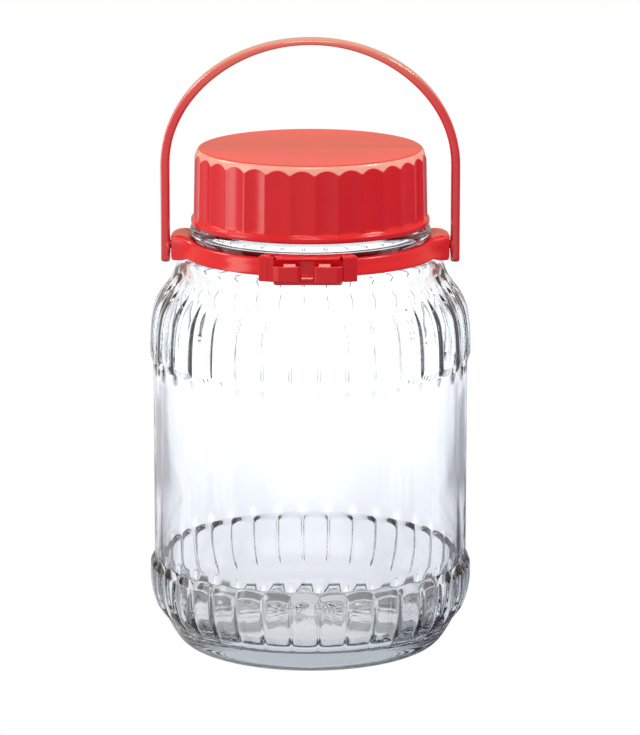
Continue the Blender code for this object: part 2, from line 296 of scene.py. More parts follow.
def mixed(nodes, links, factor, first, second):
    """A mix of two colours, each a socket or three numbers."""
    mix = nodes.new("ShaderNodeMix")
    mix.data_type = "RGBA"
    links.new(factor, mix.inputs["Factor"])
    for name, value in (("A", first), ("B", second)):
        if isinstance(value, tuple):
            mix.inputs[name].default_value = (*value, 1.0)
        else:
            links.new(value, mix.inputs[name])
    return mix.outputs["Result"]


def axes_of(nodes, links, vector):
    """The X, Y and Z of a vector as outputs."""
    split = nodes.new("ShaderNodeSeparateXYZ")
    links.new(vector, split.inputs["Vector"])
    return split.outputs["X"], split.outputs["Y"], split.outputs["Z"]


def rippled(nodes, links, place, scale, strength, distance):
    """A normal with a faint ripple of the given scale and height."""
    ripple = nodes.new("ShaderNodeBump")
    ripple.inputs["Strength"].default_value = strength
    ripple.inputs["Distance"].default_value = distance
    links.new(noise(nodes, links, place, scale, 1.0), ripple.inputs["Height"])
    return ripple.outputs["Normal"]


def red_plastic(name, colour, roughness, coat=0.0, pale=None, slopes=None):
    """Injection-moulded gloss plastic: soft colour drift, uneven sheen, faint ripple.

    pale is two heights, between which a paler colour comes in as a painted
    highlight, and that colour. The four slopes limit the painted highlight to faces
    whose normal points up by so much."""
    material, nodes, links, output = shader_nodes(name)
    shader = nodes.new("ShaderNodeBsdfPrincipled")
    place = nodes.new("ShaderNodeTexCoord").outputs["Object"]
    drift = spread(nodes, links, noise(nodes, links, place, DRIFT_SCALE, 2.0), 0.0, 1.0)
    deep = tuple(channel * share for channel, share in zip(colour, DEEP_SHARES))
    surface = mixed(nodes, links, drift, deep, tuple(colour))
    # Painted highlight: above the pale heights, and on faces sloping up within the slopes when
    # given, the colour turns to the paler one.
    if pale:
        height = axes_of(nodes, links, place)[2]
        share = ramped(nodes, links, height, *pale[:2])
        if slopes:
            normal = nodes.new("ShaderNodeNewGeometry").outputs["Normal"]
            sloped = window(nodes, links, axes_of(nodes, links, normal)[2], *slopes)
            share = math_node(nodes, links, "MULTIPLY", share, sloped)
        surface = mixed(nodes, links, share, surface, pale[2])
    links.new(surface, shader.inputs["Base Color"])
    sheen = noise(nodes, links, place, SHEEN_SCALE, 3.0)
    low, high = roughness * (1.0 - SHEEN_SPREAD), roughness * (1.0 + SHEEN_SPREAD)
    links.new(spread(nodes, links, sheen, low, high), shader.inputs["Roughness"])
    ripple = rippled(nodes, links, place, *PLASTIC_RIPPLE)
    links.new(ripple, shader.inputs["Normal"])
    shader.inputs["IOR"].default_value = 1.5
    shader.inputs["Specular IOR Level"].default_value = 0.5
    shader.inputs["Coat Weight"].default_value = coat
    shader.inputs["Coat Roughness"].default_value = 0.14
    shader.inputs["Coat IOR"].default_value = 1.7
    links.new(shader.outputs["BSDF"], output.inputs["Surface"])
    return material


def pressed_glass(name, tint, density):
    """Clear soda glass: faint ripples from the mould, grey where it is thick."""
    material, nodes, links, output = shader_nodes(name)
    shader = nodes.new("ShaderNodeBsdfPrincipled")
    place = nodes.new("ShaderNodeTexCoord").outputs["Object"]
    shader.inputs["Base Color"].default_value = (1.0, 1.0, 1.0, 1.0)
    shader.inputs["Transmission Weight"].default_value = 1.0
    shader.inputs["IOR"].default_value = 1.5
    haze = noise(nodes, links, place, HAZE_SCALE, 2.0)
    links.new(spread(nodes, links, haze, 0.0, HAZE_ROUGHNESS), shader.inputs["Roughness"])
    ripple = rippled(nodes, links, place, *GLASS_RIPPLE)
    links.new(ripple, shader.inputs["Normal"])
    links.new(shader.outputs["BSDF"], output.inputs["Surface"])
    body = nodes.new("ShaderNodeVolumeAbsorption")
    body.inputs["Color"].default_value = (*tint, 1.0)
    body.inputs["Density"].default_value = density
    links.new(body.outputs["Volume"], output.inputs["Volume"])
    return material


# Settings


class JarGlassSettings(PropertyGroup):
    """Sizes and tint of the glass."""

    flutes: IntProperty(
        name="Flutes", description="Flutes round each band", default=36, min=12, max=72
    )
    rise: FloatProperty(
        name="Flute Rise", description="How far each flute stands proud",
        default=1.65 * MM, min=0.0, max=2.0 * MM, unit="LENGTH",
    )
    sink: FloatProperty(
        name="Groove Depth", description="How deep the grooves between flutes go",
        default=0.0, min=0.0, max=2.0 * MM, unit="LENGTH",
    )
    follow: FloatProperty(
        name="Inner Follow", description="Share of the flutes that the inside repeats",
        default=0.12, min=0.0, max=1.0, subtype="FACTOR",
    )
    tint: FloatVectorProperty(
        name="Tint", description="What thick glass lets through",
        default=(0.70, 0.735, 0.755), subtype="COLOR", min=0.0, max=1.0,
    )
    density: FloatProperty(
        name="Tint Density", description="Strength of the tint per metre",
        default=23.0, min=0.0, max=60.0,
    )


class JarPlasticSettings(PropertyGroup):
    """Colour and gloss of the moulded parts."""

    colour: FloatVectorProperty(
        name="Red", description="Colour of the plastic",
        default=(0.77, 0.010, 0.018), subtype="COLOR", min=0.0, max=1.0,
    )
    roughness: FloatProperty(
        name="Roughness", description="Mean roughness of the plastic",
        default=0.2, min=0.0, max=1.0, subtype="FACTOR",
    )
    scoops: IntProperty(
        name="Cap Scoops", description="Grip scoops round the cap", default=30, min=8, max=60
    )
    scoop_depth: FloatProperty(
        name="Scoop Depth", description="How deep each scoop goes into the cap's wall",
        default=0.9 * MM, min=0.0, max=1.5 * MM, unit="LENGTH",
    )
    leg_thick: FloatProperty(
        name="Leg Thickness", description="Thickness of the handle's legs",
        default=4.5 * MM, min=2.0 * MM, max=4.6 * MM, unit="LENGTH",
    )
    grip_thick: FloatProperty(
        name="Grip Thickness", description="Thickness of the handle at its top",
        default=2.7 * MM, min=1.5 * MM, max=4.4 * MM, unit="LENGTH",
    )


class JarStageSettings(PropertyGroup):
    """Brightness of the floor, the surround and the lights."""

    floor_near: FloatProperty(
        name="Floor Near", description="Floor tone seen through the foot of the jar",
        default=0.95, min=0.0, max=3.0,
    )
    floor_far: FloatProperty(
        name="Floor Far", description="Floor tone seen through the top of the jar",
        default=1.55, min=0.0, max=3.0,
    )
    surround: FloatProperty(
        name="Surround", description="Tone of the room seen through the glass",
        default=1.3, min=0.0, max=3.0,
    )
    soft: FloatProperty(
        name="Soft Light", description="Tone of the room that lights the plastic",
        default=0.56, min=0.0, max=3.0,
    )
    flags: FloatProperty(
        name="Flags", description="How far the grey sectors darken the room",
        default=0.95, min=0.0, max=1.0, subtype="FACTOR",
    )
    overhead: FloatProperty(
        name="Overhead Light", description="Power of the softbox above",
        default=1.8, min=0.0, subtype="POWER",
    )
    key: FloatProperty(
        name="Key Light", description="Power of the light at the front left",
        default=2.6, min=0.0, subtype="POWER",
    )


# Glass


FLUTE_PHASE = math.radians(-2.0)
GROOVE_SHARE = 0.12
CROWN_SHARE = 0.12
END_ARCH = 3.4 * MM
DIMPLE_DEEP = 0.7 * MM
DIMPLE_TALL = 3.6 * MM
DIMPLE_SHARE = 0.26
FLUTE_PLACES = np.array(
    [-0.5, -0.47, -0.44, -0.4, -0.3, -0.12, 0.12, 0.3, 0.4, 0.44, 0.47]
)
LOW_BAND_TOP = 46.4 * MM
HIGH_BAND_FOOT = 147.1 * MM
END_SLOPE = 0.38
END_ROUND = 0.2 * MM
DIMPLE_LIP = 0.5 * MM
RELIEF_LEAST_R = 58.5 * MM
# Where the flutes begin and end, and over what height they come in or fade
FOOT_FADE = (13.0 * MM, 9.0 * MM)
NECK_FADE = (193.0 * MM, 19.0 * MM)
INNER_FOOT_FADE = (9.0 * MM, 6.0 * MM)
INNER_NECK_FADE = (198.0 * MM, 12.0 * MM)
INNER_BORDER_FADE = 9.0 * MM

# Outlines as radius and height in millimetres
UNDERSIDE = [
    (0.0, 2.5), (22.0, 2.3), (40.0, 1.7), (48.0, 1.1), (51.5, 0.3), (54.0, 0.0), (58.0, 0.0),
]
HEEL = [
    (58.0, 0.0), (60.5, 0.0), (65.0, 0.9), (67.5, 2.8), (69.9, 6.0), (72.3, 10.0), (75.1, 15.5),
    (77.8, 21.5), (79.9, 27.5), (80.8, 34.0), (80.7, 40.4), (80.3, 43.6), (80.0, 46.4),
]
SHOULDER = [
    (80.0, 147.1), (80.0, 150.0), (79.95, 153.0), (79.9, 158.0), (79.5, 167.0), (78.1, 175.6),
    (75.4, 182.3), (71.4, 188.3), (69.0, 193.6), (67.2, 198.4), (64.8, 201.6), (59.9, 204.0),
]
HEEL_SHARES = np.concatenate([np.linspace(0.0, 0.9, 50), np.linspace(0.9, 1.0, 13)[1:]])
SHOULDER_SHARES = np.concatenate([np.linspace(0.0, 0.09, 13), np.linspace(0.09, 1.0, 50)[1:]])
NECK = [
    (59.9, 204.0), (58.2, 205.8), (58.2, 211.0), (59.5, 211.5), (60.8, 213.1), (61.2, 214.7),
    (60.8, 216.3), (59.5, 217.7), (57.2, 218.0), (56.6, 218.6), (56.6, 252.6), (56.0, 253.8),
    (53.2, 253.8), (52.5, 253.0),
]
INSIDE = [
    (52.5, 253.0), (52.5, 216.0), (53.4, 209.0), (56.0, 203.0), (61.0, 197.5), (66.0, 190.5),
    (71.2, 182.5), (74.6, 174.0), (76.0, 163.0), (76.2, 147.1),
]
INSIDE_LOW = [
    (76.2, 46.4), (76.0, 36.0), (74.8, 27.5), (72.2, 21.0), (67.5, 16.0), (60.0, 13.2),
    (48.0, 12.2), (20.0, 12.4), (0.0, 12.5),
]


def pillow(place, rise, sink):
    """A flute's relief across: a low crown over most of it, and at each side a
    groove wall that falls to minus sink as a quarter wave of cosine."""
    crown = rise * (1.0 - CROWN_SHARE * (2.0 * place) ** 2)
    wall = np.clip((0.5 - np.abs(place)) / GROOVE_SHARE, 0.0, 1.0)
    share = np.sin(wall * math.pi / 2.0) ** 1.15
    return crown * share - sink * (1.0 - share)


def band_depth(heights):
    """How far each height lies inside a fluted band, and below zero outside."""
    return np.maximum(LOW_BAND_TOP - heights, heights - HIGH_BAND_FOOT)


def flute_relief(heights, places, rise, sink):
    """Relief of the fluted bands: the pillow, under a slope that starts at the
    band's border and, beside each groove, a little inside it, so that the ends
    are arched. Between the arches a small three-sided dimple is deepest at the
    border. The relief fades out towards the foot and under the neck."""
    arch = END_ARCH * (2.0 * np.abs(places)) ** 2.4
    depth = (band_depth(heights)[:, None] - arch[None, :]) * END_SLOPE
    across = pillow(places, rise, sink)[None, :]
    held = np.maximum(smooth_least(across, depth, END_ROUND), 0.0)
    inside = band_depth(heights)[:, None]
    beside = 1.0 - (0.5 - np.abs(places))[None, :] / DIMPLE_SHARE
    dimple = DIMPLE_DEEP * np.clip(beside - inside / DIMPLE_TALL, 0.0, 1.0)
    held -= dimple * np.clip(inside / DIMPLE_LIP, 0.0, 1.0)
    fade_in = (heights - FOOT_FADE[0]) / FOOT_FADE[1]
    fade_out = (NECK_FADE[0] - heights) / NECK_FADE[1]
    share = np.clip(np.minimum(fade_in, fade_out), 0.0, 1.0)
    return held * (share * share * (3.0 - 2.0 * share))[:, None]


def glass_profile():
    """Rows of the glass from under its foot, up the outside and down the inside.

    Each stretch has its corners softened and its own number of rows."""
    outside = [
        spaced(soften(np.array(UNDERSIDE), 2), 10)[:-1],
        along(evened(spaced(soften(np.array(HEEL), 2), 130), 12), HEEL_SHARES),
        spaced(np.array([(80.0, 52.0), (80.0, 141.5)]), 5),
        along(evened(spaced(soften(np.array(SHOULDER), 2), 130), 6), SHOULDER_SHARES)[:-1],
        spaced(soften(np.array(NECK), 3), 34)[:-1],
    ]
    inside = [
        spaced(soften(np.array(INSIDE), 2), 26),
        evened(spaced(soften(np.array(INSIDE_LOW), 2), 34), 3),
    ]
    outside = np.vstack(outside) * MM
    inside = np.vstack(inside) * MM
    return outside, inside


def glass_shell(settings):
    """The jar as one closed skin. Outside rows move along the profile's normal by
    the flute relief; inside rows follow it softly as a cosine wave."""
    outside, inside = glass_profile()
    flute = np.arange(settings.flutes)[:, None]
    places = np.broadcast_to(FLUTE_PLACES, (settings.flutes, len(FLUTE_PLACES)))
    angles = ((flute + places) * math.tau / settings.flutes + FLUTE_PHASE).ravel()
    places = places.ravel()
    relief = flute_relief(outside[:, 1], places, settings.rise, settings.sink)
    relief *= (outside[:, 0] > RELIEF_LEAST_R)[:, None]
    depth = np.clip(band_depth(inside[:, 1]) / INNER_BORDER_FADE, 0.0, 1.0)
    neck = np.clip((INNER_NECK_FADE[0] - inside[:, 1]) / INNER_NECK_FADE[1], 0.0, 1.0)
    floor = np.clip((inside[:, 1] - INNER_FOOT_FADE[0]) / INNER_FOOT_FADE[1], 0.0, 1.0)
    wave = np.cos(places * math.tau)[None, :] * (depth * neck * floor)[:, None]
    middle = (settings.rise + settings.sink) / 2.0
    ripple = -wave * middle * settings.follow
    rows = np.vstack([outside, inside])
    shift = np.vstack([relief, ripple])
    normals = np.vstack([line_normals(outside), line_normals(inside)])
    radii = rows[:, 0:1] + normals[:, 0:1] * shift
    heights = rows[:, 1:2] + normals[:, 1:2] * shift
    return lidded(turned_grid(radii, heights, angles[None, :]))


class JAR_OT_glass(Operator):
    """Build the clear ribbed glass body."""

    bl_idname = "jar.glass"
    bl_label = "Glass"

    def execute(self, context):
        settings = context.scene.jar_glass
        material = pressed_glass("clear pressed glass", settings.tint, settings.density)
        put_piece("jar_glass", glass_shell(settings), material, "jar", ["glass"])
        return {"FINISHED"}


# Cap


CAP_PHASE = math.radians(8.0)
CAP_COLUMNS = 12
CAP_WALL_TOP_R = 58.6 * MM
CAP_WALL_FOOT_R = 59.3 * MM
CAP_WALL_RUN = (254.0 * MM, 32.0 * MM)
SCOOP_FOOT = (221.9 * MM, 1.6 * MM)
SCOOP_ROUND = 0.12 * MM
CROWN_R = 54.0 * MM
RIM_FOOT = 249.0 * MM
WALL_ROWS = np.concatenate([np.linspace(248.6, 226.0, 9), np.linspace(225.0, 221.9, 6)]) * MM
# Beyond any radius of the cap, so that the scooped wall is the smaller one there
NO_LIMIT_R = 1.0
# Painted highlight on the rim's bevel: the heights over which a pale peach colour comes in, and
# that colour; then the up-slopes of the faces it covers.
RIM_PAINTED_HIGHLIGHT = (0.2500, 0.2508, (0.92, 0.38, 0.30))
RIM_HIGHLIGHT_SLOPES = (0.12, 0.26, 0.7, 0.92)
CAP_OUT = [
    (0.0, 256.55), (30.0, 256.6), (52.0, 256.75), (55.2, 256.8), (56.1, 256.7), (56.9, 256.1),
    (57.4, 255.2), (58.0, 253.6), (58.7, 251.4), (59.6, 248.4), (61.5, 243.0),
]
CAP_FLANGE = [
    (59.4, 221.9), (59.6, 221.3), (60.2, 221.05), (60.4, 220.6), (60.4, 219.0), (60.1, 218.4),
    (59.5, 218.3), (58.2, 218.3), (57.6, 218.6), (57.2, 220.0),
]
CAP_IN = [
    (57.1, 222.0), (57.0, 252.0), (56.0, 253.9), (54.0, 254.3), (20.0, 254.3), (0.0, 254.3),
]


def cap_shell(settings):
    """The cap as one closed skin. Its wall is the smaller of the turned profile and
    a wall hollowed by scoops, deepest in each scoop's middle, so that the rim's
    bevel meets the scoops in arches."""
    columns = settings.scoops * CAP_COLUMNS
    angles = np.arange(columns) * math.tau / columns + CAP_PHASE
    place = (np.arange(columns) % CAP_COLUMNS) / CAP_COLUMNS - 0.5
    scoop = settings.scoop_depth * (1.0 - (2.0 * place) ** 2)
    top = spaced(soften(np.array(CAP_OUT), 2), 200) * MM
    top = top[top[:, 1] > RIM_FOOT]
    crown = spaced(top[top[:, 0] < CROWN_R], 8)[:-1]
    rim = spaced(top[top[:, 0] >= CROWN_R], 22)
    wall = np.stack([np.full(len(WALL_ROWS), NO_LIMIT_R), WALL_ROWS], axis=1)
    out = np.vstack([crown, rim, wall])
    drop = np.clip((CAP_WALL_RUN[0] - out[:, 1]) / CAP_WALL_RUN[1], 0.0, 1.0)
    wall_r = CAP_WALL_TOP_R + (CAP_WALL_FOOT_R - CAP_WALL_TOP_R) * drop
    run_out = np.clip((out[:, 1] - SCOOP_FOOT[0]) / SCOOP_FOOT[1], 0.0, 1.0) ** 0.5
    hollow = wall_r[:, None] - scoop[None, :] * run_out[:, None]
    turned = np.broadcast_to(out[:, 0:1], hollow.shape)
    radii = smooth_least(turned, hollow, SCOOP_ROUND)
    inner = out[:, 0] < CROWN_R
    radii[inner] = out[inner, 0:1]
    flange = soften(np.array(CAP_FLANGE), 1) * MM
    inside = spaced(soften(np.array(CAP_IN), 2), 18) * MM
    rest = np.vstack([flange, inside])
    ones = np.ones((1, columns))
    radii = np.vstack([radii, rest[:, 0:1] * ones])
    heights = np.vstack([out[:, 1:2] * ones, rest[:, 1:2] * ones])
    grid = turned_grid(radii, heights, angles[None, :])
    points, faces = lidded(grid)
    return points, [face[::-1] for face in faces]


class JAR_OT_cap(Operator):
    """Build the scooped screw cap."""

    bl_idname = "jar.cap"
    bl_label = "Cap"

    def execute(self, context):
        settings = context.scene.jar_plastic
        # The cap's plastic carries a painted highlight on the rim's bevel.
        material = red_plastic(
            "red cap plastic", settings.colour, settings.roughness, 0.0, RIM_PAINTED_HIGHLIGHT, RIM_HIGHLIGHT_SLOPES
        )
        put_piece("screw_cap", cap_shell(settings), material, "jar", ["cap"])
        return {"FINISHED"}


# Collar


COLLAR_BAND = [
    (58.8, 206.5), (58.8, 210.6), (59.3, 211.1), (61.4, 211.1), (62.4, 210.5), (63.4, 207.5),
    (63.7, 206.9), (65.2, 203.9), (65.2, 203.0), (64.4, 202.9), (62.8, 203.2), (60.4, 204.6),
]
COLLAR_EAR = [
    (58.8, 206.5), (58.8, 210.6), (60.0, 211.6), (66.0, 213.8), (70.2, 212.0), (70.6, 211.0),
    (70.6, 206.0), (70.6, 202.0), (70.6, 200.7), (69.6, 200.5), (66.8, 200.5), (64.2, 203.6),
]
EAR_FLAT = math.radians(7.9)
EAR_FLARE = math.radians(11.5)
BLOCK_SIDE = [
    (71.9, 201.4), (71.9, 213.4), (71.0, 214.0), (62.8, 214.0), (61.6, 211.2), (61.6, 206.0),
    (63.0, 203.6), (64.6, 201.4),
]
POCKET_SIDE = [
    (71.9, 201.4), (71.9, 213.4), (71.6, 213.9), (70.6, 213.9), (70.3, 209.6), (62.6, 209.6),
    (61.6, 206.0), (63.0, 203.6), (64.6, 201.4),
]
BLOCK_TURNS = (13.05, 18.85)
POCKET_TURNS = (14.5, 17.0)
FAR_TURNS = (17.0, 20.75)
BLOCK_EDGE = 0.4 * MM


def collar_shell():
    """The band and its two ears as one closed skin. Round the neck the section
    changes from the band's to the ear's: fully within eight degrees of each side,
    then as what is left of the flare, to the power 1.8 in its reach and as a
    smooth step in its height."""
    band = soften(np.array(COLLAR_BAND + COLLAR_BAND[:1]), 2)[:-1] * MM
    ear = soften(np.array(COLLAR_EAR + COLLAR_EAR[:1]), 2)[:-1] * MM
    side = np.concatenate(
        [np.linspace(0.0, EAR_FLAT, 7), EAR_FLAT + EAR_FLARE * np.linspace(0.02, 1.0, 28) ** 1.3,
         np.linspace(EAR_FLAT + EAR_FLARE, math.pi / 2.0, 42)[1:]]
    )
    quarter = np.concatenate([side, math.pi - side[::-1][1:]])
    angles = np.concatenate([quarter, -quarter[::-1][1:-1]])
    from_side = np.minimum(np.abs(angles), math.pi - np.abs(angles))
    left = 1.0 - np.clip((from_side - EAR_FLAT) / EAR_FLARE, 0.0, 1.0)
    reach = left ** 1.8
    lift = left * left * (3.0 - 2.0 * left)
    radii = band[:, 0:1] + (ear - band)[:, 0:1] * reach
    heights = band[:, 1:2] + (ear - band)[:, 1:2] * lift
    points, faces = looped(turned_grid(radii, heights, angles[None, :]))
    return points, [face[::-1] for face in faces]


def sector_shell(side, turns):
    """Part of an end block: its outline of radius and height, turned about the jar
    between two angles from the front."""
    outline = np.array(side) * MM
    angles = np.radians(np.linspace(turns[0], turns[1], 5)) - math.pi / 2.0
    grid = turned_grid(outline[:, 0:1], outline[:, 1:2] * np.ones((1, 5)), angles[None, :])
    points, faces = capped(grid.transpose(1, 0, 2))
    return points, [face[::-1] for face in faces]


class JAR_OT_collar(Operator):
    """Build the collar's band, ears and end blocks."""

    bl_idname = "jar.collar"
    bl_label = "Collar"

    def execute(self, context):
        settings = context.scene.jar_plastic
        material = red_plastic("red collar plastic", settings.colour, settings.roughness)
        put_piece("collar_band", collar_shell(), material, "jar", ["collar"])
        pocket = mirrored(sector_shell(POCKET_SIDE, POCKET_TURNS))
        left = joined(pocket, mirrored(sector_shell(BLOCK_SIDE, FAR_TURNS)))
        right = sector_shell(BLOCK_SIDE, BLOCK_TURNS)
        for side, shell in (("right", right), ("left", left)):
            put_piece(
                "end_block_" + side, shell, material, "jar", edge=BLOCK_EDGE
            )
        return {"FINISHED"}


# Clasp


PLATE_SIDE = [
    (-69.2, 199.7), (-66.0, 199.7), (-65.4, 201.6), (-65.4, 211.6), (-61.6, 211.9), (-61.6, 213.8),
    (-69.4, 213.8), (-70.3, 213.2), (-70.3, 212.6), (-69.0, 211.6), (-68.4, 210.0), (-68.4, 203.2),
    (-70.0, 202.0), (-70.0, 200.5),
]
PLATE_X = (-18.3, 16.0)
PLATE_CUT = 2.0 * MM
PLATE_CUT_Y = 68.3 * MM
SOCKET_PLANS = {
    "left": [
        (-18.3, -68.0), (-18.3, -70.3), (-15.6, -72.0), (-6.4, -72.0), (-4.9, -70.6),
        (-4.9, -68.0),
    ],
    "right": [
        (2.0, -68.0), (2.0, -71.4), (2.8, -72.0), (13.2, -72.0), (16.0, -70.3), (16.0, -68.0),
    ],
}
SOCKET_FOOT = {"left": 202.0, "right": 201.6}
SOCKET_TOP = 209.4
TONGUE_SIDE = [(-68.2, 211.3), (-70.2, 210.6), (-71.3, 209.3), (-71.3, 208.4), (-68.2, 208.4)]
TONGUES = [(-13.2, -7.1), (4.1, 10.0)]
LATCH_SIDE = [(-68.2, 205.2), (-70.4, 204.2), (-71.2, 203.2), (-71.0, 202.2), (-68.2, 202.2)]
LATCH_X = (-4.6, 1.5)
PLATE_EDGE = 0.35 * MM
SOCKET_EDGE = 0.4 * MM
TONGUE_EDGE = 0.2 * MM


def plate_shell():
    """The clasp's plate: its side outline pushed across the front, its ends drawn
    in towards the front as cut corners."""
    outline = [(y * MM, z * MM) for y, z in PLATE_SIDE]
    points, faces = prism(outline, "X", PLATE_X[0] * MM, PLATE_X[1] * MM)
    front = np.clip((-points[:, 1] - PLATE_CUT_Y) / PLATE_CUT, 0.0, 1.0)
    points[:, 0] -= np.sign(points[:, 0]) * front * PLATE_CUT
    return points, faces


def socket_shell(side):
    """A socket: its plan, with cut corners, pushed up from its foot."""
    outline = [(x * MM, y * MM) for x, y in SOCKET_PLANS[side]]
    return prism(outline, "Z", SOCKET_FOOT[side] * MM, SOCKET_TOP * MM)


def wedge_shell(side, across):
    """A wedge with a sloping top: its side outline pushed across."""
    outline = [(y * MM, z * MM) for y, z in side]
    return prism(outline, "X", across[0] * MM, across[1] * MM)


class JAR_OT_clasp(Operator):
    """Build the snap clasp at the front: plate, sockets, tongues and latch."""

    bl_idname = "jar.clasp"
    bl_label = "Clasp"

    def execute(self, context):
        settings = context.scene.jar_plastic
        material = red_plastic("red clasp plastic", settings.colour, settings.roughness)
        put_piece(
            "clasp_plate", plate_shell(), material, "jar", ["clasp"], PLATE_EDGE
        )
        for side in SOCKET_PLANS:
            name = "clasp_socket_" + side
            shell = socket_shell(side)
            put_piece(name, shell, material, "jar", edge=SOCKET_EDGE)
        wedges = [wedge_shell(TONGUE_SIDE, across) for across in TONGUES]
        wedges.append(wedge_shell(LATCH_SIDE, LATCH_X))
        shells = joined(*wedges)
        put_piece("clasp_tongues", shells, material, "jar", edge=TONGUE_EDGE)
        return {"FINISHED"}


# Handle


PIVOT_Z = 206.9 * MM
ARCH_Z = 247.3 * MM
ARCH_HALF_X = 75.6 * MM
ARCH_RISE = 64.6 * MM
ARCH_POWER = 2.03
THICK_ROUND = 0.8
BROAD_ROUND = 0.2
FOOT_SHARE = 0.72
BAR_HALF_Y = 4.6 * MM
GRIP_HALF_Y = 6.4 * MM
# Painted highlight on the top of the arch: the heights over which a paler red comes in, and that
# colour.
GRIP_PAINTED_HIGHLIGHT = (0.27, 0.312, (0.74, 0.15, 0.11))
HANDLE_COAT = 1.0
FOOT_ROUND = 1.0 * MM
BOSS_X = (0.3 * MM, 1.6 * MM)
BOSS_RADII = np.array([4.6, 4.9, 4.9, 4.6]) * MM
PIN_X = (-4.2 * MM, 1.0 * MM)
PIN_RADII = np.array([1.8, 2.2, 2.2, 2.2]) * MM
LEG_END_Z = 198.4 * MM
EAR_FACE_X = 70.6 * MM


def bail_shell(settings):
    """The bail: a rounded oblong section carried up one leg, over the arch and down
    the other. The outer line is a superellipse of power 2.03 on two straight legs;
    the bar thins by the fifth power of the climb and broadens by a smooth step."""
    turn = np.linspace(0.0, math.pi / 2.0, 60)
    across = ARCH_HALF_X * np.cos(turn) ** (2.0 / ARCH_POWER)
    up = ARCH_Z + ARCH_RISE * np.sin(turn) ** (2.0 / ARCH_POWER)
    leg = np.linspace(LEG_END_Z + FOOT_ROUND, ARCH_Z, 12)[:-1]
    legs = np.stack([np.full(len(leg), ARCH_HALF_X), leg], axis=1)
    right = np.vstack([legs, np.stack([across, up], axis=1)])
    line = np.vstack([right, (right * np.array([-1.0, 1.0]))[::-1][1:]])
    outer = spaced(line, 360)
    out = line_normals(outer)
    climb = np.clip((outer[:, 1] - ARCH_Z) / ARCH_RISE, 0.0, 1.0)
    spare = settings.leg_thick - settings.grip_thick
    thick = settings.grip_thick + spare * (1.0 - climb ** 5)
    corner = np.linspace(0.0, math.pi / 2.0, 8)
    quarter = np.arange(4)[:, None] * math.pi / 2.0 + corner[None, :]
    signs_out = np.array([1.0, -1.0, -1.0, 1.0])[:, None]
    signs_up = np.array([1.0, 1.0, -1.0, -1.0])[:, None]
    outward = (signs_out * (1.0 - THICK_ROUND) + np.cos(quarter) * THICK_ROUND).ravel()
    sideways = (signs_up * (1.0 - BROAD_ROUND) + np.sin(quarter) * BROAD_ROUND).ravel()
    inset = (outward[None, :] - 1.0) * thick[:, None] / 2.0
    flat = outer[:, None, :] + out[:, None, :] * inset[:, :, None]
    half = BAR_HALF_Y + (GRIP_HALF_Y - BAR_HALF_Y) * climb * climb * (3.0 - 2.0 * climb)
    depth = half[:, None] * sideways[None, :]
    grid = np.stack([flat[..., 0], depth, flat[..., 1]], axis=-1)
    foot = grid[[0, -1]]
    middle = foot.mean(axis=1, keepdims=True)
    foot = middle + (foot - middle) * FOOT_SHARE - np.array([0.0, 0.0, FOOT_ROUND])
    return capped(np.concatenate([foot[:1], grid, foot[1:]]))


def round_bar(start_x, end_x, radii, height):
    """A round bar along X: rings of the given radii evenly spaced between two ends."""
    spin = np.linspace(0.0, math.tau, 40, endpoint=False)
    xs = np.linspace(start_x, end_x, len(radii))
    radii = radii[:, None]
    flat = np.ones((1, len(spin)))
    across, up = radii * np.cos(spin), height + radii * np.sin(spin)
    return capped(np.stack([xs[:, None] * flat, across, up], axis=-1))


class JAR_OT_handle(Operator):
    """Build the bail handle with its bosses and pins."""

    bl_idname = "jar.handle"
    bl_label = "Handle"

    def execute(self, context):
        settings = context.scene.jar_plastic
        # The handle's plastic carries a painted highlight over the top of the arch.
        material = red_plastic(
            "red handle plastic", settings.colour, settings.roughness, HANDLE_COAT, GRIP_PAINTED_HIGHLIGHT
        )
        put_piece("bail", bail_shell(settings), material, "bail", ["handle"])
        inner = ARCH_HALF_X - settings.leg_thick
        boss = round_bar(EAR_FACE_X + BOSS_X[0], inner + BOSS_X[1], BOSS_RADII, PIVOT_Z)
        pin = round_bar(EAR_FACE_X + PIN_X[0], inner + PIN_X[1], PIN_RADII, PIVOT_Z)
        shells = joined(boss, pin, mirrored(boss), mirrored(pin))
        put_piece("bail_bosses", shells, material, "bail")
        return {"FINISHED"}


# Stage


WHITE = (1.0, 1.0, 1.0)
FLOOR_R = 9.0
FLOOR_SIDES = 96
FLOOR_Z = -0.2 * MM
# Sines of the bearings between which the flags stand, and how dark they are near the jar
FLAG_SINES = (0.62, 0.76, 0.965, 0.985)
FLAG_REACH = (0.07, 0.2)
FLAG_NEAR = 0.85
# A grey field on the floor: its strength, sines of its bearings and its distances
GREY_FIELD = 0.62
FIELD_SINES = (0.31, 0.43, 0.72, 0.8)
FIELD_REACH = (0.27, 0.36, 0.58, 0.75)
# The shade under the jar: its strength and where it ends and is full
UNDER_JAR = 0.3
UNDER_REACH = (0.07, 0.048)
FLOOR_RAMP = (0.08, 0.68)
FLOOR_TINT = (0.94, 0.975, 1.045)
FLOOR_SOFT = (0.55, 0.55, 0.55)
# The ceiling as the glass sees it darkens between these upward slopes
CEILING = 0.85
CEILING_SLOPES = (0.4, 0.72)
ROOM_TINT = (0.98, 0.99, 1.0)
# Gloss tones on the left and on the right, and the sines between which they change
FLOOR_GLOSS = ((0.66, 0.62, 0.62), (0.20, 0.18, 0.24))
ROOM_GLOSS = ((0.68, 0.51, 0.37), (0.56, 0.43, 0.31))
GLOSS_SINES = (-0.1, 0.75)
LAMP_AIM = (0.0, 0.0, 0.25)
LAMP_WARMTH = (1.0, 0.96, 0.88)
